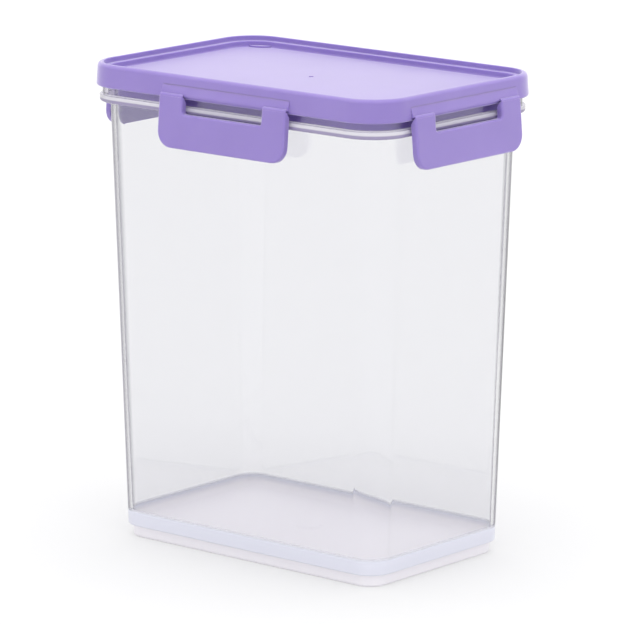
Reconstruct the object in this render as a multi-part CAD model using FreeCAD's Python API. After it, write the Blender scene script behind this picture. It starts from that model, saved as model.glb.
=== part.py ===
# Clear food canister with a lilac lid held by four clips on living hinges.
# Millimetres and degrees, +Z up, the foot stands on Z = 0 and the lid is centred on the origin.
import math
import os

import FreeCAD
import Part

Vector = FreeCAD.Vector

# Overall form. The lid is measured round the bottom edge of its skirt.
lid_length = 150.0
lid_width = 100.0
lid_corner_radius = 16.5
canister_height = 188.0

# Lid: skirt, rim and the stepped recess in its top
skirt_height = 9.0
skirt_wall = 1.9
skirt_draft = 4.0
skirt_top_round = 1.5
skirt_bottom_bevel = 0.8
rim_width = 2.2
ledge_depth = 1.9
ledge_width = 2.1
panel_depth = 4.1
panel_thickness = 1.8
lug_round = 6.5
lug_depth = 3.0
lug_height = 0.6
lug_turn = 115.0
gate_radius = 1.2
gate_depth = 0.25

# Lid underside: groove for the seal, and the plug that guides the lid into the mouth
seal_thickness = 1.8
seal_width = 3.2
seal_clearance = 0.3
seal_rib_wall = 1.2
seal_rib_overlap = 0.6
plug_wall = 1.6
plug_reach = 5.0
plug_clearance = 1.7

# Container: mouth
collar_clearance = 0.5
collar_wall = 2.0
flange_setback = 1.25
flange_overhang = 2.85
flange_drop = 3.2
flange_thickness = 2.9
flange_bottom_bevel = 0.7

# Container: walls, floor and foot
wall_thickness = 1.8
wall_draft = 2.03
wall_corner_radius = 15.6
floor_thickness = 2.2
floor_sink = 0.3
floor_round = 4.0
foot_height = 4.7
foot_inset = 2.1
foot_wall = 2.0
foot_bevel = 0.8
shoulder_bevel = 0.5
boss_radius = 6.0
boss_top_radius = 4.0
boss_height = 0.6

# Clips and the pads and thin webs that they hang from
clip_width = 63.0
clip_height = 19.6
clip_thickness = 2.5
clip_lean = 5.0
clip_corner_radius = 6.5
clip_edge_bevel = 0.7
window_width = 39.4
window_corner_radius = 1.2
window_sill = 0.9
arm_top_land = 0.9
arm_chamfer_height = 2.2
catch_hold = 0.9
catch_gap = 0.3
catch_nose = 0.8
catch_height = 3.4
pad_out = 0.8
pad_rise = 1.3
pad_face = 1.0
pad_height = 3.9
web_thickness = 0.5
web_bend_radius = 0.9
web_margin = 0.3
clip_proud = 0.2

# Heights worked out from the sizes above
skirt_bottom = canister_height - skirt_height
panel_top = canister_height - panel_depth
panel_underside = panel_top - panel_thickness
collar_top = panel_underside - seal_thickness
flange_top = skirt_bottom - flange_drop
flange_bottom = flange_top - flange_thickness
floor_underside = foot_height - floor_sink
floor_top = floor_underside + floor_thickness

# Insets from the lid's outline, worked out from the sizes above
rim_inset = skirt_height * math.tan(math.radians(skirt_draft))
ledge_inset = rim_inset + rim_width
panel_inset = ledge_inset + ledge_width
collar_inset = skirt_wall + collar_clearance
wall_inset = flange_setback + flange_overhang
plug_inset = wall_inset + wall_thickness + plug_clearance
seal_inset = skirt_wall + seal_clearance
seal_rib_inset = seal_inset + seal_width + seal_clearance

# Living hinge: the web leaves the pad level and bends down through an arc into the arm
pad_bottom = skirt_bottom + pad_rise
web_turn = 90.0 - clip_lean
web_centre_z = pad_bottom + pad_face / 2 - web_bend_radius
arm_top_out = pad_out + web_bend_radius * math.sin(math.radians(web_turn))
arm_top_z = web_centre_z + web_bend_radius * math.cos(math.radians(web_turn))
half_bend = web_bend_radius * math.radians(web_turn) / 2
hinge_out = pad_out + half_bend
hinge_z = web_centre_z + half_bend / math.tan(math.radians(web_turn) / 2)
clip_face = web_thickness / 2 + clip_proud
arm_width = (clip_width - window_width) / 2

# The four sides, each a quarter turn on from the one before, and how far out each skirt lies
side_names = ["front", "right", "back", "left"]
side_reaches = [lid_width / 2, lid_length / 2, lid_width / 2, lid_length / 2]
quarter_turn = 360 / len(side_names)
side_turns = [quarter_turn * index for index in range(len(side_names))]

origin = Vector(0, 0, 0)
x_axis = Vector(1, 0, 0)
z_axis = Vector(0, 0, 1)


def rounded_rectangle(length, width, radius, z):
    x = length / 2 - radius
    y = width / 2 - radius
    arcs = []
    for quarter, centre in enumerate([(x, y), (-x, y), (-x, -y), (x, -y)]):
        start = quarter_turn * quarter
        arcs.append(Part.makeCircle(radius, Vector(*centre, z), z_axis, start, start + quarter_turn))
    edges = []
    for arc, following in zip(arcs, arcs[1:] + arcs[:1]):
        line_start = arc.valueAt(arc.LastParameter)
        line_end = following.valueAt(following.FirstParameter)
        edges += [arc, Part.makeLine(line_start, line_end)]
    return Part.Wire(edges)


# The lid's outline, moved in by an inset, at a height
def lid_outline(inset, z):
    radius = lid_corner_radius - inset
    return rounded_rectangle(lid_length - 2 * inset, lid_width - 2 * inset, radius, z)


# The container wall's outline, which draws in towards the foot, moved in by an inset
def wall_outline(inset, z):
    drawn_in = inset + (flange_bottom - z) * math.tan(math.radians(wall_draft))
    total = wall_inset + drawn_in
    radius = wall_corner_radius - drawn_in
    return rounded_rectangle(lid_length - 2 * total, lid_width - 2 * total, radius, z)


# The foot's outline, upright below the shoulder, moved in by an inset
def foot_outline(inset, z):
    outline = wall_outline(foot_inset + inset, foot_height)
    return outline.translated(Vector(0, 0, z - foot_height))


def prism(outline, top):
    return Part.Face(outline).extrude(Vector(0, 0, top - outline.BoundBox.ZMin))


def taper(lower, upper):
    return Part.makeLoft([lower, upper], True, True)


def level_edges(solid, z):
    return [edge for edge in solid.Edges
            if abs(edge.BoundBox.ZMin - z) < 1e-4 and abs(edge.BoundBox.ZMax - z) < 1e-4]


def round_level(solid, radius, z):
    return solid.makeFillet(radius, level_edges(solid, z))


def bevel_level(solid, size, z):
    return solid.makeChamfer(size, level_edges(solid, z))


# A strip along the front side: a section of (out, z) points, drawn out along X
def front_strip(section, reach, start, length):
    points = [Vector(start, -reach - out, z) for out, z in section]
    face = Part.Face(Part.makePolygon(points + points[:1]))
    return face.extrude(Vector(length, 0, 0))


def turned(shape, turn):
    return shape.rotated(origin, z_axis, turn)


def container():
    walls = taper(wall_outline(0, foot_height), wall_outline(0, flange_bottom))
    walls = bevel_level(walls, shoulder_bevel, foot_height)
    foot = bevel_level(prism(foot_outline(0, 0), floor_top), foot_bevel, 0)
    flange = prism(lid_outline(flange_setback, flange_bottom), flange_top)
    flange = bevel_level(flange, flange_bottom_bevel, flange_bottom)
    collar = prism(lid_outline(collar_inset, flange_bottom), collar_top)
    outside = walls.fuse([foot, flange, collar])

    cavity = taper(wall_outline(wall_thickness, floor_top), wall_outline(wall_thickness, flange_top))
    cavity = round_level(cavity, floor_round, floor_top)
    mouth = prism(lid_outline(collar_inset + collar_wall, flange_top), collar_top)
    hollow_foot = prism(foot_outline(foot_wall, 0), floor_underside)
    tub = outside.cut([cavity, mouth, hollow_foot])

    boss = Part.makeCone(boss_radius, boss_top_radius, boss_height, Vector(0, 0, floor_top))
    return tub.fuse(boss).removeSplitter()


# A low lens-shaped pad in the back left corner of the pocket
def corner_lug(pocket):
    corner = Vector(lid_corner_radius - lid_length / 2, lid_width / 2 - lid_corner_radius, panel_top)
    out = lid_corner_radius - panel_inset + lug_round - lug_depth
    turn = math.radians(lug_turn)
    centre = corner + Vector(out * math.cos(turn), out * math.sin(turn), 0)
    return Part.makeCylinder(lug_round, lug_height, centre).common(pocket)


# A sloped pad low on the skirt, which carries the two webs of one clip
def hinge_pad(reach):
    buried = -skirt_wall / 2
    slope_top = pad_bottom + pad_height
    skirt_out = (skirt_bottom - slope_top) * math.tan(math.radians(skirt_draft))
    section = [(buried, pad_bottom), (pad_out, pad_bottom), (pad_out, pad_bottom + pad_face),
               (skirt_out, slope_top), (buried, slope_top)]
    return front_strip(section, reach, -clip_width / 2, clip_width)


def lid():
    body = taper(lid_outline(0, skirt_bottom), lid_outline(rim_inset, canister_height))
    body = round_level(body, skirt_top_round, canister_height)
    body = bevel_level(body, skirt_bottom_bevel, skirt_bottom)
    pocket = prism(lid_outline(panel_inset, panel_top), canister_height)
    step = prism(lid_outline(ledge_inset, canister_height - ledge_depth), canister_height)
    underside = prism(lid_outline(skirt_wall, skirt_bottom), panel_underside)
    gate = Part.makeCylinder(gate_radius, gate_depth, Vector(0, 0, panel_top - gate_depth))
    shell = body.cut([step, pocket, underside, gate])

    seal_rib_bottom = collar_top - seal_rib_overlap
    seal_rib = prism(lid_outline(seal_rib_inset, seal_rib_bottom), panel_underside)
    seal_rib_inner = lid_outline(seal_rib_inset + seal_rib_wall, seal_rib_bottom)
    seal_rib = seal_rib.cut(prism(seal_rib_inner, panel_underside))
    plug_bottom = skirt_bottom - plug_reach
    plug_radius = wall_corner_radius - wall_thickness - plug_clearance
    plug = prism(plug_outline(0, plug_radius, plug_bottom), panel_underside)
    plug = plug.cut(prism(plug_outline(plug_wall, plug_radius, plug_bottom), panel_underside))
    pads = [turned(hinge_pad(reach), turn) for turn, reach in zip(side_turns, side_reaches)]
    return shell.fuse([seal_rib, plug, corner_lug(pocket)] + pads).removeSplitter()


# The plug follows the container's inner wall, not the lid's own corner
def plug_outline(inset, radius, z):
    total = plug_inset + inset
    return rounded_rectangle(lid_length - 2 * total, lid_width - 2 * total, radius - inset, z)


def seal_ring():
    outer = prism(lid_outline(seal_inset, collar_top), panel_underside)
    return outer.cut(prism(lid_outline(seal_inset + seal_width, collar_top), panel_underside))


# One clip's plate, hanging straight down from its arm tops at the origin, outside face towards -Y
def clip_plate():
    window_height = arm_top_z - flange_bottom - window_sill
    plate = Part.makeBox(clip_width, clip_thickness, clip_height,
                         Vector(-clip_width / 2, -clip_face, -clip_height))
    lower_corners = [edge for edge in plate.Edges
                     if edge.BoundBox.ZMax < -clip_height / 2 and edge.BoundBox.XLength < 1e-4]
    plate = plate.makeFillet(clip_corner_radius, lower_corners)
    window = Part.makeBox(window_width, clip_thickness, window_height,
                          Vector(-window_width / 2, -clip_face, -window_height))
    sill_corners = [edge for edge in window.Edges
                    if edge.BoundBox.ZMax < -window_height / 2 and edge.BoundBox.XLength < 1e-4]
    plate = plate.cut(window.makeFillet(window_corner_radius, sill_corners))
    face_edges = [edge for edge in plate.Edges
                  if edge.BoundBox.YMax < -clip_face + 1e-4 and edge.BoundBox.ZMin < -1e-4]
    plate = plate.makeChamfer(clip_edge_bevel, face_edges)
    inside = clip_thickness - clip_face
    land = arm_top_land - clip_face
    relief = front_strip([(-land, 0), (-inside, 0), (-inside, -arm_chamfer_height)], 0,
                         -clip_width / 2, clip_width)
    return plate.cut(relief)


# The ledge behind the window's sill, which hooks under the flange
def catch(reach):
    tip = -flange_setback - catch_hold
    top = flange_bottom - catch_gap
    root = pad_out
    section = [(root, top), (tip, top), (tip, top - catch_nose), (root, top - catch_height)]
    return front_strip(section, reach, -window_width / 2, window_width)


def clip(reach):
    plate = clip_plate().rotated(origin, x_axis, -clip_lean)
    plate.translate(Vector(0, -reach - arm_top_out, arm_top_z))
    return plate.fuse(catch(reach)).removeSplitter()


# A thin bent web, from the pad's face out and down to the top of one arm
def web(reach, start):
    pad_side = Vector(start, -reach - pad_out, web_centre_z + web_bend_radius - web_thickness / 2)
    section = Part.makePolygon([
        pad_side,
        pad_side + Vector(arm_width - 2 * web_margin, 0, 0),
        pad_side + Vector(arm_width - 2 * web_margin, 0, web_thickness),
        pad_side + Vector(0, 0, web_thickness),
        pad_side,
    ])
    bend_centre = Vector(start, -reach - pad_out, web_centre_z)
    return Part.Face(section).revolve(bend_centre, x_axis, web_turn)


os.makedirs("parts", exist_ok=True)
pieces = {"container": container(), "lid": lid(), "seal_ring": seal_ring()}
left_arm_start = -clip_width / 2 + web_margin
right_arm_start = window_width / 2 + web_margin
for side, turn, reach in zip(side_names, side_turns, side_reaches):
    pieces[side + "_clip"] = turned(clip(reach), turn)
    pieces[side + "_left_strap"] = turned(web(reach, left_arm_start), turn)
    pieces[side + "_right_strap"] = turned(web(reach, right_arm_start), turn)

for name, shape in pieces.items():
    shape.exportStep("parts/" + name + ".step")
    state = "valid" if shape.isValid() else "broken"
    print(name, state, len(shape.Solids), "solid", round(shape.Volume, 1))
print("hinge axis out", round(hinge_out, 4), "z", round(hinge_z, 4))
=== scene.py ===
import math

import bmesh
import bpy
from mathutils import Matrix, Vector


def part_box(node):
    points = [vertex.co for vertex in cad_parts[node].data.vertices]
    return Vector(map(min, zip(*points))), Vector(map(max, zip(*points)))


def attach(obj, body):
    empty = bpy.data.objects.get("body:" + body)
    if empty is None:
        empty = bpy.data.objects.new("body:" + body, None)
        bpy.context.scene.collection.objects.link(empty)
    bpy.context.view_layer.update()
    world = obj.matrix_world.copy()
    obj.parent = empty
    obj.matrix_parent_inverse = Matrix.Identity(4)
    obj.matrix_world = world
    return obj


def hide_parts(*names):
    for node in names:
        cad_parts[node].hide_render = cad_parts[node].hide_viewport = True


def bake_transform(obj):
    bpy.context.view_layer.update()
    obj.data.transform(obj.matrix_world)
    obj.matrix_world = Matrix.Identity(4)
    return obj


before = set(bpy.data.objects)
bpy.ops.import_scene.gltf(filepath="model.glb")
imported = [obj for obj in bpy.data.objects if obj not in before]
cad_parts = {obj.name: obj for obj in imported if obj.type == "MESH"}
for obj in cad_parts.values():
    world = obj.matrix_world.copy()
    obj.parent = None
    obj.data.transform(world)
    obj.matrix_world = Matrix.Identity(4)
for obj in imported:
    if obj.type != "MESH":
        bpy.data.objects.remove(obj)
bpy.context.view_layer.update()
print("frame loaded, nodes:", len(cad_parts))

mm = 0.001  # settings are written in millimetres, Blender works in metres

# the four sides, each a quarter turn on from the one before
sides = ["front", "right", "back", "left"]

meshing = {
    "stackStep": 50.0,
    "nearness": 1e-7,  # metres, points closer than this are one
    "sharpAngle": 35,  # degrees
    "markSegments": 32,
}

lidLow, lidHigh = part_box("lid")
lid = {
    "padOut": 0.8,  # the hinge pads stand this far out of the skirt
    "cornerRadius": 16.5,
    "cornerSegments": 14,
    "skirtHeight": 9.0,
    "skirtWall": 1.9,
    "skirtDraft": 4.0,  # degrees
    "rimWidth": 2.2,
    "ledgeDepth": 1.9,
    "ledgeWidth": 2.1,
    "panelDepth": 4.1,
    "panelThickness": 1.8,
    "topRound": 1.5,
    "bottomRound": 0.9,
    "rimRound": 0.35,
    "ledgeRound": 0.35,
    "panelRound": 0.7,
    "roundSegments": 4,
    "gateRadius": 1.1,
    "gateTopRadius": 0.8,
    "gateHeight": 0.3,
}
lid["top"] = lidHigh.z / mm
lid["length"] = (lidHigh.x - lidLow.x) / mm - 2 * lid["padOut"]
lid["width"] = (lidHigh.y - lidLow.y) / mm - 2 * lid["padOut"]
lid["skirtBottom"] = lid["top"] - lid["skirtHeight"]
lid["panelTop"] = lid["top"] - lid["panelDepth"]
lid["panelUnderside"] = lid["panelTop"] - lid["panelThickness"]
lid["rimInset"] = lid["skirtHeight"] * math.tan(math.radians(lid["skirtDraft"]))
lid["ledgeInset"] = lid["rimInset"] + lid["rimWidth"]
lid["panelInset"] = lid["ledgeInset"] + lid["ledgeWidth"]
reaches = [lid["width"] / 2, lid["length"] / 2, lid["width"] / 2, lid["length"] / 2]


def vertsIn(items):
    return [item for item in items if isinstance(item, bmesh.types.BMVert)]


def roundCorners(bm, corners, radius, segments):
    bmesh.ops.bevel(bm, geom=corners, offset=radius * mm, offset_type="OFFSET",
                    affect="VERTICES", segments=segments, profile=0.5, material=-1)


def roundEdges(bm, edges, radius, segments):
    kept = [edge for edge in edges if edge.is_valid]
    bmesh.ops.bevel(bm, geom=kept, offset=radius * mm, offset_type="OFFSET",
                    affect="EDGES", segments=segments, profile=0.5, material=-1)


# extrudes faces by a vector in millimetres and gives the new vertices
def drawOut(bm, faces, offset):
    tip = vertsIn(bmesh.ops.extrude_face_region(bm, geom=faces)["geom"])
    bmesh.ops.translate(bm, verts=tip, vec=Vector(offset) * mm)
    return tip


# a closed loop of edges: four corner vertices, rounded by a vertex bevel
def roundedLoop(bm, length, width, radius, height):
    corners = []
    for x, y in ((-1, -1), (1, -1), (1, 1), (-1, 1)):
        corners.append(bm.verts.new(Vector((x * length / 2, y * width / 2, height)) * mm))
    bm.faces.new(corners)
    roundCorners(bm, corners, radius, lid["cornerSegments"])
    sheet = next(iter(bm.faces))
    edges = list(sheet.edges)
    bmesh.ops.delete(bm, geom=[sheet], context="FACES_ONLY")
    return edges


# the lid's outline moved in by an inset
def lidLoop(bm, inset, height):
    return roundedLoop(bm, lid["length"] - 2 * inset, lid["width"] - 2 * inset,
                       lid["cornerRadius"] - inset, height)


# skins a run of loops, pulled apart into a tall stack so that level loops bridge
# without a twist, and let down again
def skinLoops(bm, loops, capStart=False, capEnd=False, closed=False):
    lifted = []
    for index, loop in enumerate(loops):
        verts = list({vert for edge in loop for vert in edge.verts})
        lifted.append((verts, Vector((0, 0, meshing["stackStep"] * mm * index))))
    for verts, lift in lifted:
        bmesh.ops.translate(bm, verts=verts, vec=lift)
    following = loops[1:] + loops[:1] if closed else loops[1:]
    for loop, nextLoop in zip(loops, following):
        bmesh.ops.bridge_loops(bm, edges=loop + nextLoop)
    for verts, lift in lifted:
        bmesh.ops.translate(bm, verts=verts, vec=-lift)
    for loop, wanted in ((loops[0], capStart), (loops[-1], capEnd)):
        if wanted:
            bmesh.ops.contextual_create(bm, geom=loop)


# the low round mark that the moulding gate leaves, its foot sunk into what it stands on
def addGate(bm, radius, topRadius, height, rise):
    sink = rise / 2
    middle = Vector((0, 0, height + (rise - sink) / 2)) * mm
    bmesh.ops.create_cone(bm, cap_ends=True, segments=meshing["markSegments"],
                          radius1=radius * mm, radius2=topRadius * mm,
                          depth=(rise + sink) * mm, matrix=Matrix.Translation(middle))


# a closed bar: a section of (out, height) points on the front side, drawn out along X
def frontBar(bm, section, reach, start, length):
    points = []
    for out, height in section:
        points.append(bm.verts.new(Vector((start, -reach - out, height)) * mm))
    return points + drawOut(bm, [bm.faces.new(points)], (length, 0, 0))


def sideTurn(side):
    return Matrix.Rotation(math.radians(90 * sides.index(side)), 3, "Z")


def turnToSide(bm, verts, side):
    bmesh.ops.rotate(bm, verts=verts, cent=(0, 0, 0), matrix=sideTurn(side))


# closes the bmesh into an object at the origin, smooth except where faces meet sharply
def finishPiece(bm, name):
    bmesh.ops.remove_doubles(bm, verts=bm.verts, dist=meshing["nearness"])
    bmesh.ops.recalc_face_normals(bm, faces=bm.faces)
    mesh = bpy.data.meshes.new(name)
    bm.to_mesh(mesh)
    bm.free()
    mesh.polygons.foreach_set("use_smooth", [True] * len(mesh.polygons))
    mesh.set_sharp_from_angle(angle=math.radians(meshing["sharpAngle"]))
    piece = bpy.data.objects.new(name, mesh)
    bpy.context.scene.collection.objects.link(piece)
    weighted = piece.modifiers.new("flatFaces", "WEIGHTED_NORMAL")
    weighted.keep_sharp = True
    return piece


# sRGB hex to linear
def linear(hexColour):
    channels = [int(hexColour[i:i + 2], 16) / 255 for i in (1, 3, 5)]
    return [c / 12.92 if c <= 0.04045 else ((c + 0.055) / 1.055) ** 2.4 for c in channels] + [1]


# adds one node: settings on the node, and sockets given a value or another node's output
def addNode(tree, kind, sockets=None, **settings):
    node = tree.nodes.new(kind)
    for key, value in settings.items():
        setattr(node, key, value)
    for key, value in (sockets or {}).items():
        if isinstance(value, bpy.types.NodeSocket):
            tree.links.new(value, node.inputs[key])
        else:
            node.inputs[key].default_value = value
    return node


def newMaterial(name):
    material = bpy.data.materials.new(name)
    material.use_nodes = True
    material.node_tree.nodes.clear()
    return material, material.node_tree


# Polypropylene, injection moulded in a satin tool: even lilac, soft sheen, a grain just
# felt, slow flow clouds.
lilacLook = {
    "colour": "#9582C6",
    "cloudColour": "#917EC2",
    "cloudSize": 30.0,
    "cloudDetail": 3.0,
    "cloudEdges": (0.35, 0.65),  # noise values between which one colour turns to the other
    "grainSize": 0.5,  # the real grain is finer, and is drawn coarser so that it shows
    "grainDetail": 2.0,
    "grainDepth": 0.012,
    "grainStrength": 0.25,
    "roughnessLow": 0.50,
    "roughnessHigh": 0.58,
    "ior": 1.50,
    "haze": 0.85,  # fine tool grain greys every surface seen at a slant
    "hazeSpread": 0.35,
    "subsurface": 0.8,  # light gets a little way through thin walls
    "subsurfaceDepth": 0.7,
    "subsurfaceRadius": (0.9, 0.8, 1.0),  # red, green, blue: near alike, so no edge turns pink
}


def makeLilacPolypropylene():
    material, tree = newMaterial("lilacPolypropylene")
    place = addNode(tree, "ShaderNodeTexCoord").outputs["Object"]
    clouds = addNode(tree, "ShaderNodeTexNoise", {
        "Vector": place, "Scale": 1 / (lilacLook["cloudSize"] * mm),
        "Detail": lilacLook["cloudDetail"]}).outputs["Fac"]
    colour = addNode(tree, "ShaderNodeValToRGB", {"Fac": clouds})
    shades = (lilacLook["cloudColour"], lilacLook["colour"])
    for element, edge, shade in zip(colour.color_ramp.elements, lilacLook["cloudEdges"], shades):
        element.position = edge
        element.color = linear(shade)
    grain = addNode(tree, "ShaderNodeTexNoise", {
        "Vector": place, "Scale": 1 / (lilacLook["grainSize"] * mm),
        "Detail": lilacLook["grainDetail"]}).outputs["Fac"]
    roughness = addNode(tree, "ShaderNodeMapRange", {
        "Value": grain, "To Min": lilacLook["roughnessLow"],
        "To Max": lilacLook["roughnessHigh"]}).outputs["Result"]
    bump = addNode(tree, "ShaderNodeBump", {
        "Height": grain, "Strength": lilacLook["grainStrength"],
        "Distance": lilacLook["grainDepth"] * mm}).outputs["Normal"]
    surface = addNode(tree, "ShaderNodeBsdfPrincipled", {
        "Base Color": colour.outputs["Color"], "Roughness": roughness, "Normal": bump,
        "IOR": lilacLook["ior"], "Sheen Weight": lilacLook["haze"],
        "Sheen Roughness": lilacLook["hazeSpread"],
        "Subsurface Weight": lilacLook["subsurface"],
        "Subsurface Scale": lilacLook["subsurfaceDepth"] * mm,
        "Subsurface Radius": lilacLook["subsurfaceRadius"]})
    addNode(tree, "ShaderNodeOutputMaterial", {"Surface": surface.outputs["BSDF"]})
    return material


# Styrene copolymer, moulded in a polished tool: clear walls that grey a little edge on, by
# absorption and by painted shade on the corners, and a base left milky by a frosted tool, so that
# the floor and foot read as pale solids.
clearLook = {
    "wallColour": "#FDFDFE",
    "floorColour": "#F6F3F6",
    "paintedLightFacing": (0.1, 0.6),  # how far up a face looks where the band's painted shade turns to the paler floor
    "edgeColour": "#868686",  # white light after a long way through the plastic
    "edgeDensity": 55.0,
    "paintedCornerShade": "#4A465A",  # painted shade: rounded corners seen at a slant are painted dark, for the dark edges that refraction shows there
    "cornerShadeFacing": (0.45, 0.72),
    "cornerShadeTurn": (0.1, 0.25),  # product of the normal's X and Y, none on a flat wall
    # bands up the tub: height, how clear from black to white, and tint
    "base": [(0.0, "#000000", "#F2EFF4"), (4.2, "#000000", "#F2EFF4"),
             # the darker, bluer band from 5 to 10.2 mm is painted shade, for the floor's round seen
             # through the milky wall, over the base's own pale tint
             (5.0, "#000000", "#DFE0EC"), (10.2, "#000000", "#DFE0EC"),
             (11.4, "#FFFFFF", "#FDFDFE"), (14.0, "#FFFFFF", "#FDFDFE")],
    # painted light at the mouth: the flange's lower edge is painted lilac grey and its face light
    # grey, for shade under the flange and the lid's reflection; the collar is painted pale lilac,
    # for the lid's colour showing through it
    "mouth": [(170.0, "#FFFFFF", "#FDFDFE"), (172.5, "#FFFFFF", "#FDFDFE"),
              (172.8, "#808080", "#A59CBC"), (174.2, "#808080", "#A59CBC"),
              (174.6, "#808080", "#EAE8EE"), (175.9, "#808080", "#EAE8EE"),
              (176.2, "#FFFFFF", "#F1ECFA"), (178.0, "#FFFFFF", "#F1ECFA")],
    "milkTransmission": 0.05,
    "milkCrossing": 0.6,  # share of lamp and bounced light that seeps through the milky base
    "wallRoughness": 0.02,
    "milkRoughness": 0.35,
    "polishedFrom": 0.1,  # how clear the plastic is where the polished tool begins
    "waveSize": 20.0,
    "waveDepth": 0.004,
    "waveStrength": 0.2,
    "ior": 1.56,
}


def makeClearStyrene():
    material, tree = newMaterial("clearStyrene")
    coordinates = addNode(tree, "ShaderNodeTexCoord").outputs
    height = addNode(tree, "ShaderNodeSeparateXYZ", {"Vector": coordinates["Object"]}).outputs["Z"]
    normal = addNode(tree, "ShaderNodeSeparateXYZ", {"Vector": coordinates["Normal"]}).outputs
    ramps = {}
    for band in ("base", "mouth"):
        stops = clearLook[band]
        bottom, top = stops[0][0], stops[-1][0]
        share = addNode(tree, "ShaderNodeMapRange", {
            "Value": height, "From Min": bottom * mm, "From Max": top * mm}).outputs["Result"]
        for column, kind in ((1, "clear"), (2, "tint")):
            ramp = addNode(tree, "ShaderNodeValToRGB", {"Fac": share})
            for index, stop in enumerate(stops):
                elements = ramp.color_ramp.elements
                element = elements[index] if index < 2 else elements.new(1.0)
                element.position = (stop[0] - bottom) / (top - bottom)
                element.color = linear(stop[column])
            ramps[band, kind] = ramp.outputs["Color"]
    baseClear = ramps["base", "clear"]
    clear = addNode(tree, "ShaderNodeMath", {0: baseClear, 1: ramps["mouth", "clear"]},
                    operation="MULTIPLY").outputs["Value"]
    # the tints up the tub carry painted shade and painted reflection at the base band, the flange
    # and the collar
    tints = {0: 1.0, 6: ramps["base", "tint"], 7: ramps["mouth", "tint"]}
    tint = addNode(tree, "ShaderNodeMix", tints, data_type="RGBA",
                   blend_type="MULTIPLY").outputs[2]
    # painted light: in the milky base, faces that look up are painted paler and warmer, as lit
    # floor, and faces turned to the side keep the band's darker, bluer tint as painted shade
    low, high = clearLook["paintedLightFacing"]
    facing = addNode(tree, "ShaderNodeMapRange", {
        "Value": normal["Z"], "From Min": low, "From Max": high}).outputs["Result"]
    milky = addNode(tree, "ShaderNodeMath", {0: 1.0, 1: baseClear},
                    operation="SUBTRACT").outputs["Value"]
    floor = addNode(tree, "ShaderNodeMath", {0: facing, 1: milky},
                    operation="MULTIPLY").outputs["Value"]
    colour = addNode(tree, "ShaderNodeMix", {
        0: floor, 6: tint, 7: linear(clearLook["floorColour"])}, data_type="RGBA").outputs[2]
    slant = addNode(tree, "ShaderNodeLayerWeight").outputs["Facing"]
    turned = addNode(tree, "ShaderNodeMath", {0: normal["X"], 1: normal["Y"]},
                     operation="MULTIPLY").outputs["Value"]
    turned = addNode(tree, "ShaderNodeMath", {0: turned}, operation="ABSOLUTE").outputs["Value"]
    # painted shade: the clear wall's colour is darkened where it turns round a corner and is seen
    # at a slant
    corner = clear
    for value, limits in ((slant, "cornerShadeFacing"), (turned, "cornerShadeTurn")):
        low, high = clearLook[limits]
        share = addNode(tree, "ShaderNodeMapRange", {
            "Value": value, "From Min": low, "From Max": high}).outputs["Result"]
        corner = addNode(tree, "ShaderNodeMath", {0: corner, 1: share},
                         operation="MULTIPLY").outputs["Value"]
    colour = addNode(tree, "ShaderNodeMix", {
        0: corner, 6: colour, 7: linear(clearLook["paintedCornerShade"])}, data_type="RGBA").outputs[2]
    transmission = addNode(tree, "ShaderNodeMapRange", {
        "Value": clear, "To Min": clearLook["milkTransmission"], "To Max": 1.0}).outputs["Result"]
    roughness = addNode(tree, "ShaderNodeMapRange", {
        "Value": clear, "From Max": clearLook["polishedFrom"],
        "To Min": clearLook["milkRoughness"],
        "To Max": clearLook["wallRoughness"]}).outputs["Result"]
    waves = addNode(tree, "ShaderNodeTexNoise", {
        "Vector": coordinates["Object"],
        "Scale": 1 / (clearLook["waveSize"] * mm)}).outputs["Fac"]
    bump = addNode(tree, "ShaderNodeBump", {
        "Height": waves, "Strength": clearLook["waveStrength"],
        "Distance": clearLook["waveDepth"] * mm}).outputs["Normal"]
    surface = addNode(tree, "ShaderNodeBsdfPrincipled", {
        "Base Color": colour, "Roughness": roughness, "Transmission Weight": transmission,
        "Normal": bump, "IOR": clearLook["ior"]})
    # lamps and bounced light cross the walls straight, so that the inside is lit as
    # through thin plastic
    path = addNode(tree, "ShaderNodeLightPath").outputs
    bounced = addNode(tree, "ShaderNodeMath", {0: path["Is Shadow Ray"], 1: path["Is Diffuse Ray"]},
                      operation="MAXIMUM").outputs["Value"]
    seeping = addNode(tree, "ShaderNodeMapRange", {
        "Value": baseClear, "To Min": clearLook["milkCrossing"], "To Max": 1.0}).outputs["Result"]
    crossing = addNode(tree, "ShaderNodeMath", {0: bounced, 1: seeping},
                       operation="MULTIPLY").outputs["Value"]
    straight = addNode(tree, "ShaderNodeBsdfTransparent", {
        "Color": linear(clearLook["wallColour"])})
    wall = addNode(tree, "ShaderNodeMixShader", {
        0: crossing, 1: surface.outputs["BSDF"], 2: straight.outputs["BSDF"]})
    inside = addNode(tree, "ShaderNodeVolumeAbsorption", {
        "Color": linear(clearLook["edgeColour"]), "Density": clearLook["edgeDensity"]})
    addNode(tree, "ShaderNodeOutputMaterial", {
        "Surface": wall.outputs["Shader"], "Volume": inside.outputs["Volume"]})
    return material


# Silicone rubber, moulded and dusted: milky, soft edged, nearly matt.
siliconeLook = {
    "colour": "#E4E0EA",
    "dustColour": "#EEEBF2",
    "dustSize": 1.2,
    "dustDetail": 4.0,
    "roughness": 0.55,
    "subsurface": 0.4,
    "subsurfaceDepth": 1.5,
    "subsurfaceRadius": (1.0, 1.0, 1.0),
    "ior": 1.41,
}


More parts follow.
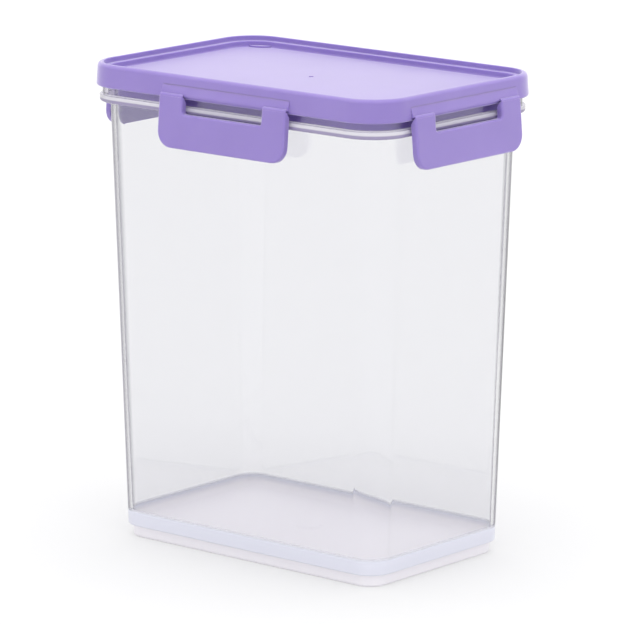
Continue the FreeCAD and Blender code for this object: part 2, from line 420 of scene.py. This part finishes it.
def makeMilkySilicone():
    material, tree = newMaterial("milkySilicone")
    place = addNode(tree, "ShaderNodeTexCoord").outputs["Object"]
    dust = addNode(tree, "ShaderNodeTexNoise", {
        "Vector": place, "Scale": 1 / (siliconeLook["dustSize"] * mm),
        "Detail": siliconeLook["dustDetail"]}).outputs["Fac"]
    colour = addNode(tree, "ShaderNodeValToRGB", {"Fac": dust})
    colour.color_ramp.elements[0].color = linear(siliconeLook["colour"])
    colour.color_ramp.elements[1].color = linear(siliconeLook["dustColour"])
    surface = addNode(tree, "ShaderNodeBsdfPrincipled", {
        "Base Color": colour.outputs["Color"], "Roughness": siliconeLook["roughness"],
        "IOR": siliconeLook["ior"], "Subsurface Weight": siliconeLook["subsurface"],
        "Subsurface Scale": siliconeLook["subsurfaceDepth"] * mm,
        "Subsurface Radius": siliconeLook["subsurfaceRadius"]})
    addNode(tree, "ShaderNodeOutputMaterial", {"Surface": surface.outputs["BSDF"]})
    return material


lilacPolypropylene = makeLilacPolypropylene()
clearStyrene = makeClearStyrene()
milkySilicone = makeMilkySilicone()
print("materials ready")


def dressPiece(piece, material):
    piece.data.materials.append(material)


tub = {
    "collarInset": 2.4,
    "collarWall": 2.0,
    "sealThickness": 1.8,  # the seal lies between collar and panel
    "flangeSetback": 1.25,
    "flangeDrop": 3.2,  # below the skirt's bottom edge
    "flangeThickness": 2.9,
    "wallInset": 4.1,
    "wallThickness": 1.8,
    "wallDraft": 2.03,  # degrees
    "wallCornerRadius": 15.6,
    "footHeight": 4.7,
    "footInset": 2.1,
    "footWall": 2.0,
    "floorUnderside": 4.4,
    "floorTop": 6.6,
    "floorRound": 4.0,
    "footRound": 0.9,
    "shoulderRound": 0.7,
    "flangeRound": 0.9,
    "collarRound": 0.5,
    "roundSegments": 5,
    "floorSegments": 8,
    "gateRadius": 6.0,
    "gateTopRadius": 3.5,
    "gateHeight": 0.6,
}
tub["collarTop"] = lid["panelUnderside"] - tub["sealThickness"]
tub["flangeTop"] = lid["skirtBottom"] - tub["flangeDrop"]
tub["flangeBottom"] = tub["flangeTop"] - tub["flangeThickness"]


# the wall's outline, which draws in towards the foot, moved in by an inset
def wallLoop(bm, inset, height, drawnFrom=None):
    fall = tub["flangeBottom"] - (height if drawnFrom is None else drawnFrom)
    drawnIn = inset + fall * math.tan(math.radians(tub["wallDraft"]))
    total = tub["wallInset"] + drawnIn
    return roundedLoop(bm, lid["length"] - 2 * total, lid["width"] - 2 * total,
                       tub["wallCornerRadius"] - drawnIn, height)


def footLoop(bm, inset, height):
    return wallLoop(bm, tub["footInset"] + inset, height, tub["footHeight"])


def makeTub():
    bm = bmesh.new()
    mouthInset = tub["collarInset"] + tub["collarWall"]
    loops = {
        "footCeiling": footLoop(bm, tub["footWall"], tub["floorUnderside"]),
        "footInner": footLoop(bm, tub["footWall"], 0),
        "footOuter": footLoop(bm, 0, 0),
        "footTop": footLoop(bm, 0, tub["footHeight"]),
        "shoulder": wallLoop(bm, 0, tub["footHeight"]),
        "wallTop": wallLoop(bm, 0, tub["flangeBottom"]),
        "flangeLower": lidLoop(bm, tub["flangeSetback"], tub["flangeBottom"]),
        "flangeUpper": lidLoop(bm, tub["flangeSetback"], tub["flangeTop"]),
        "collarFoot": lidLoop(bm, tub["collarInset"], tub["flangeTop"]),
        "collarOuter": lidLoop(bm, tub["collarInset"], tub["collarTop"]),
        "collarInner": lidLoop(bm, mouthInset, tub["collarTop"]),
        "mouthStep": lidLoop(bm, mouthInset, tub["flangeTop"]),
        "innerTop": wallLoop(bm, tub["wallThickness"], tub["flangeTop"]),
        "innerFloor": wallLoop(bm, tub["wallThickness"], tub["floorTop"]),
    }
    skinLoops(bm, list(loops.values()), capStart=True, capEnd=True)
    roundEdges(bm, loops["innerFloor"], tub["floorRound"], tub["floorSegments"])
    for name, radius in (("footOuter", "footRound"), ("shoulder", "shoulderRound"),
                         ("flangeLower", "flangeRound"), ("flangeUpper", "collarRound"),
                         ("collarOuter", "collarRound"), ("collarInner", "collarRound")):
        roundEdges(bm, loops[name], tub[radius], tub["roundSegments"])
    addGate(bm, tub["gateRadius"], tub["gateTopRadius"], tub["floorTop"], tub["gateHeight"])
    piece = finishPiece(bm, "clearTub")
    dressPiece(piece, clearStyrene)
    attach(piece, "container")
    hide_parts("container")


makeTub()
print("tub built")

underside = {
    "sealInset": 2.2,
    "sealWidth": 3.2,
    "sealRound": 0.4,
    "sealSegments": 3,
    "ribInset": 5.7,
    "ribWall": 1.2,
    "ribOverlap": 0.6,  # below the collar's top
    "plugInset": 7.6,
    "plugRadius": 12.1,
    "plugWall": 1.6,
    "plugReach": 5.0,  # below the skirt's bottom edge
    "plugRound": 0.5,
}
underside["ribBottom"] = tub["collarTop"] - underside["ribOverlap"]
underside["plugBottom"] = lid["skirtBottom"] - underside["plugReach"]
pads = {
    "length": 63.0,
    "rise": 1.3,  # from the skirt's bottom edge to the pad's
    "face": 1.0,
    "height": 3.9,
}
pads["bottom"] = lid["skirtBottom"] + pads["rise"]
lug = {
    "round": 6.5,  # radius of the edge that bulges towards the panel
    "depth": 3.0,
    "height": 0.6,
    "sink": 0.4,
    "turn": 115.0,  # degrees from +X, round the recess corner's centre
    "segments": 20,
}


def plugLoop(bm, inset, height):
    total = underside["plugInset"] + inset
    return roundedLoop(bm, lid["length"] - 2 * total, lid["width"] - 2 * total,
                       underside["plugRadius"] - inset, height)


# the lens-shaped pad in the back left corner of the recess, between the corner's own arc
# and a tighter one that bulges the other way
def addLug(bm):
    cornerRadius = lid["cornerRadius"] - lid["panelInset"]
    corner = Vector((lid["cornerRadius"] - lid["length"] / 2,
                     lid["width"] / 2 - lid["cornerRadius"], 0))
    outward = Matrix.Rotation(math.radians(lug["turn"]), 3, "Z") @ Vector((1, 0, 0))
    far = cornerRadius + lug["round"] - lug["depth"]  # from the corner's centre to the pad's
    along = (far ** 2 + cornerRadius ** 2 - lug["round"] ** 2) / (2 * far)
    cornerHalf = math.acos(along / cornerRadius)
    padHalf = math.acos((far - along) / lug["round"])
    base = Vector((0, 0, lid["panelTop"] - lug["sink"]))
    rims = []
    arcs = ((corner, outward, cornerRadius, cornerHalf),
            (corner + outward * far, -outward, lug["round"], padHalf))
    for centre, direction, radius, half in arcs:
        start = Matrix.Rotation(-half, 3, "Z") @ direction * radius
        point = bm.verts.new((centre + start + base) * mm)
        spun = bmesh.ops.spin(bm, geom=[point], cent=(centre + base) * mm, axis=(0, 0, 1),
                              angle=2 * half, steps=lug["segments"])
        rims.append((point, vertsIn(spun["geom_last"])[0]))
    bmesh.ops.pointmerge(bm, verts=[rims[0][0], rims[1][1]], merge_co=rims[0][0].co)
    bmesh.ops.pointmerge(bm, verts=[rims[0][1], rims[1][0]], merge_co=rims[0][1].co)
    outline = [edge for edge in bm.edges if not edge.link_faces]
    faces = bmesh.ops.contextual_create(bm, geom=outline)["faces"]
    drawOut(bm, faces, (0, 0, lug["height"] + lug["sink"]))


def makeLid():
    bm = bmesh.new()
    ribInner = underside["ribInset"] + underside["ribWall"]
    loops = {
        "plugCeiling": plugLoop(bm, underside["plugWall"], lid["panelUnderside"]),
        "plugInner": plugLoop(bm, underside["plugWall"], underside["plugBottom"]),
        "plugOuter": plugLoop(bm, 0, underside["plugBottom"]),
        "plugRoot": plugLoop(bm, 0, lid["panelUnderside"]),
        "ribRoot": lidLoop(bm, ribInner, lid["panelUnderside"]),
        "ribInner": lidLoop(bm, ribInner, underside["ribBottom"]),
        "ribOuter": lidLoop(bm, underside["ribInset"], underside["ribBottom"]),
        "groove": lidLoop(bm, underside["ribInset"], lid["panelUnderside"]),
        "skirtRoot": lidLoop(bm, lid["skirtWall"], lid["panelUnderside"]),
        "skirtInner": lidLoop(bm, lid["skirtWall"], lid["skirtBottom"]),
        "skirtOuter": lidLoop(bm, 0, lid["skirtBottom"]),
        "rimOuter": lidLoop(bm, lid["rimInset"], lid["top"]),
        "rimInner": lidLoop(bm, lid["ledgeInset"], lid["top"]),
        "ledgeRoot": lidLoop(bm, lid["ledgeInset"], lid["top"] - lid["ledgeDepth"]),
        "ledgeEdge": lidLoop(bm, lid["panelInset"], lid["top"] - lid["ledgeDepth"]),
        "panelEdge": lidLoop(bm, lid["panelInset"], lid["panelTop"]),
    }
    skinLoops(bm, list(loops.values()), capStart=True, capEnd=True)
    for name, radius in (("skirtOuter", lid["bottomRound"]), ("rimOuter", lid["topRound"]),
                         ("rimInner", lid["rimRound"]), ("ledgeRoot", lid["rimRound"]),
                         ("ledgeEdge", lid["ledgeRound"]), ("panelEdge", lid["panelRound"]),
                         ("plugOuter", underside["plugRound"])):
        roundEdges(bm, loops[name], radius, lid["roundSegments"])
    addLug(bm)
    addGate(bm, lid["gateRadius"], lid["gateTopRadius"], lid["panelTop"], lid["gateHeight"])
    buried = -lid["skirtWall"] / 2
    slopeTop = pads["bottom"] + pads["height"]
    skirtOut = (lid["skirtBottom"] - slopeTop) * math.tan(math.radians(lid["skirtDraft"]))
    section = [(buried, pads["bottom"]), (lid["padOut"], pads["bottom"]),
               (lid["padOut"], pads["bottom"] + pads["face"]), (skirtOut, slopeTop),
               (buried, slopeTop)]
    for side, reach in zip(sides, reaches):
        bar = frontBar(bm, section, reach, -pads["length"] / 2, pads["length"])
        turnToSide(bm, bar, side)
    piece = finishPiece(bm, "lidShell")
    dressPiece(piece, lilacPolypropylene)
    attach(piece, "lid")
    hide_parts("lid")


def makeSeal():
    bm = bmesh.new()
    outer, inner = underside["sealInset"], underside["sealInset"] + underside["sealWidth"]
    low, high = tub["collarTop"], lid["panelUnderside"]
    loops = [lidLoop(bm, outer, low), lidLoop(bm, outer, high), lidLoop(bm, inner, high),
             lidLoop(bm, inner, low)]
    skinLoops(bm, loops, closed=True)
    roundEdges(bm, loops[0] + loops[3], underside["sealRound"], underside["sealSegments"])
    piece = finishPiece(bm, "sealRing")
    dressPiece(piece, milkySilicone)
    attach(piece, "lid")
    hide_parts("seal_ring")


makeLid()
makeSeal()
print("lid and seal built")

clip = {
    "width": 63.0,
    "height": 19.6,
    "thickness": 2.5,
    "lean": 5.0,  # degrees, the lower edge stands out
    "proud": 0.45,  # face in front of the web's middle
    "cornerRadius": 6.5,
    "edgeRound": 0.9,
    "windowWidth": 39.4,
    "windowRadius": 1.2,
    "sill": 0.9,  # window's lower edge above the flange's underside
    "armLand": 0.9,
    "armChamfer": 2.2,
    "cornerSegments": 12,
    "roundSegments": 4,
    "catchTip": 2.15,  # inside the skirt's face
    "catchGap": 0.3,
    "catchNose": 0.8,
    "catchHeight": 3.4,
}
web = {
    "thickness": 0.5,
    "bendRadius": 0.9,
    "margin": 0.3,
    "steps": 12,
}
web["turn"] = math.radians(90 - clip["lean"])
web["centreHeight"] = pads["bottom"] + pads["face"] / 2 - web["bendRadius"]
web["endOut"] = lid["padOut"] + web["bendRadius"] * math.sin(web["turn"])
web["endHeight"] = web["centreHeight"] + web["bendRadius"] * math.cos(web["turn"])


# a plate cut as a U, hung from its arm tops at the origin, its face towards -Y
def addPlate(bm):
    half, windowHalf = clip["width"] / 2, clip["windowWidth"] / 2
    windowHeight = web["endHeight"] - tub["flangeBottom"] - clip["sill"]
    outline = [(-half, 0), (-half, -clip["height"]), (half, -clip["height"]), (half, 0),
               (windowHalf, 0), (windowHalf, -windowHeight), (-windowHalf, -windowHeight),
               (-windowHalf, 0)]
    points = [bm.verts.new(Vector((x, -clip["proud"], height)) * mm) for x, height in outline]
    bm.faces.new(points)
    for corners, radius in ((points[1:3], "cornerRadius"), (points[5:7], "windowRadius")):
        roundCorners(bm, corners, clip[radius], clip["cornerSegments"])
    drawOut(bm, [next(iter(bm.faces))], (0, clip["thickness"], 0))
    near = meshing["nearness"]
    frontEdges = [edge for edge in bm.edges
                  if all(abs(v.co.y + clip["proud"] * mm) < near for v in edge.verts)
                  and not all(abs(v.co.z) < near for v in edge.verts)]
    roundEdges(bm, frontEdges, clip["edgeRound"], clip["roundSegments"])
    # the back of each arm thins towards the web
    land = Vector((0, clip["armLand"] - clip["proud"], 0)) * mm
    slope = Vector((0, clip["armChamfer"], clip["thickness"] - clip["armLand"]))
    bmesh.ops.bisect_plane(bm, geom=bm.verts[:] + bm.edges[:] + bm.faces[:], dist=near,
                           plane_co=land, plane_no=slope, clear_outer=True)
    bmesh.ops.holes_fill(bm, edges=[edge for edge in bm.edges if edge.is_boundary])


def makeClip(side, reach):
    bm = bmesh.new()
    addPlate(bm)
    lean = Matrix.Rotation(math.radians(-clip["lean"]), 3, "X")
    bmesh.ops.rotate(bm, verts=bm.verts, cent=(0, 0, 0), matrix=lean)
    armTop = Vector((0, -reach - web["endOut"], web["endHeight"]))
    bmesh.ops.translate(bm, verts=bm.verts, vec=armTop * mm)
    top = tub["flangeBottom"] - clip["catchGap"]
    catch = [(lid["padOut"], top), (-clip["catchTip"], top),
             (-clip["catchTip"], top - clip["catchNose"]),
             (lid["padOut"], top - clip["catchHeight"])]
    frontBar(bm, catch, reach, -clip["windowWidth"] / 2, clip["windowWidth"])
    turnToSide(bm, bm.verts, side)
    piece = finishPiece(bm, side + "Clip")
    dressPiece(piece, lilacPolypropylene)
    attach(piece, side + "_clip")
    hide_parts(side + "_clip")


# a thin web that leaves the pad level and bends down into the arm's top
def makeWeb(side, reach, hand, start):
    bm = bmesh.new()
    arm = (clip["width"] - clip["windowWidth"]) / 2 - 2 * web["margin"]
    padFace = -reach - lid["padOut"]
    low = web["centreHeight"] + web["bendRadius"] - web["thickness"] / 2
    high = low + web["thickness"]
    section = []
    for x, height in ((start, low), (start + arm, low), (start + arm, high), (start, high)):
        section.append(bm.verts.new(Vector((x, padFace, height)) * mm))
    centre = Vector((start, padFace, web["centreHeight"])) * mm
    bmesh.ops.spin(bm, geom=[bm.faces.new(section)], cent=centre, axis=(1, 0, 0),
                   angle=web["turn"], steps=web["steps"])
    bmesh.ops.holes_fill(bm, edges=[edge for edge in bm.edges if edge.is_boundary])
    turnToSide(bm, bm.verts, side)
    piece = finishPiece(bm, side + hand + "Web")
    dressPiece(piece, lilacPolypropylene)
    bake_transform(piece)
    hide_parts(side + "_" + hand.lower() + "_strap")


for side, reach in zip(sides, reaches):
    makeClip(side, reach)
    makeWeb(side, reach, "Left", -clip["width"] / 2 + web["margin"])
    makeWeb(side, reach, "Right", clip["windowWidth"] / 2 + web["margin"])
print("clips and webs built")

stage = {
    "floorSize": 30.0,  # metres
    "floorColour": "#C8C8C8",
    "floorRoughness": 0.9,
    "floorGlow": 0.27,
    "white": "#FFFFFF",
    "worldFill": 0.85,  # what the white room gives matt surfaces
}


def makeStage():
    bm = bmesh.new()
    bmesh.ops.create_grid(bm, x_segments=1, y_segments=1, size=stage["floorSize"] / 2)
    mesh = bpy.data.meshes.new("paleFloor")
    bm.to_mesh(mesh)
    bm.free()
    floor = bpy.data.objects.new("paleFloor", mesh)
    bpy.context.scene.collection.objects.link(floor)
    material, tree = newMaterial("palePaper")
    surface = addNode(tree, "ShaderNodeBsdfPrincipled", {
        "Base Color": linear(stage["floorColour"]), "Roughness": stage["floorRoughness"],
        "Specular IOR Level": 0.0, "Emission Color": linear(stage["white"]),
        "Emission Strength": stage["floorGlow"]})
    addNode(tree, "ShaderNodeOutputMaterial", {"Surface": surface.outputs["BSDF"]})
    mesh.materials.append(material)

    world = bpy.data.worlds.new("whiteRoom")
    bpy.context.scene.world = world
    world.use_nodes = True
    tree = world.node_tree
    tree.nodes.clear()
    path = addNode(tree, "ShaderNodeLightPath").outputs
    seen = path["Is Camera Ray"]
    for ray in ("Is Glossy Ray", "Is Transmission Ray"):
        seen = addNode(tree, "ShaderNodeMath", {0: seen, 1: path[ray]},
                       operation="MAXIMUM").outputs["Value"]
    strength = addNode(tree, "ShaderNodeMapRange", {
        "Value": seen, "To Min": stage["worldFill"], "To Max": 1.0}).outputs["Result"]
    room = addNode(tree, "ShaderNodeBackground", {
        "Color": linear(stage["white"]), "Strength": strength})
    addNode(tree, "ShaderNodeOutputWorld", {"Surface": room.outputs["Background"]})


# wide soft lamps: azimuth and elevation they shine from in degrees, strength, and width
# in degrees
lamps = {
    "keyLamp": (25, 50, 0.5, 70),
    "sideLamp": (95, 35, 0.25, 70),
    "topLamp": (40, 85, 0.95, 70),
    "backLamp": (220, 30, 0.6, 100),
}


def makeLamps():
    for name, (azimuth, elevation, strength, width) in lamps.items():
        lamp = bpy.data.lights.new(name, "SUN")
        lamp.energy = strength
        lamp.angle = math.radians(width)
        holder = bpy.data.objects.new(name, lamp)
        holder.rotation_euler = (math.radians(90 - elevation), 0, math.radians(azimuth))
        bpy.context.scene.collection.objects.link(holder)


camera = {
    "azimuth": 40.21,
    "elevation": 12.03,
    "roll": 0.105,
    "distance": 1835.0,
    "aim": (0.40, 0.24, 91.87),
    "lens": 273.9,
    "sensor": 36.0,
    "clipEnd": 100.0,  # metres
}


def makeCamera():
    lens = bpy.data.cameras.new("studioCamera")
    lens.lens = camera["lens"]
    lens.sensor_width = camera["sensor"]
    lens.clip_end = camera["clipEnd"]
    holder = bpy.data.objects.new("studioCamera", lens)
    azimuth, elevation = math.radians(camera["azimuth"]), math.radians(camera["elevation"])
    back = Vector((math.sin(azimuth) * math.cos(elevation),
                   -math.cos(azimuth) * math.cos(elevation), math.sin(elevation)))
    level = back.to_track_quat("Z", "Y").to_matrix()
    turned = level @ Matrix.Rotation(math.radians(camera["roll"]), 3, "Z")
    eye = (Vector(camera["aim"]) + back * camera["distance"]) * mm
    holder.matrix_world = Matrix.Translation(eye) @ turned.to_4x4()
    bpy.context.scene.collection.objects.link(holder)
    bpy.context.scene.camera = holder


makeStage()
makeLamps()
makeCamera()
bpy.context.scene.view_settings.view_transform = "Standard"
print("stage, lamps and camera ready")
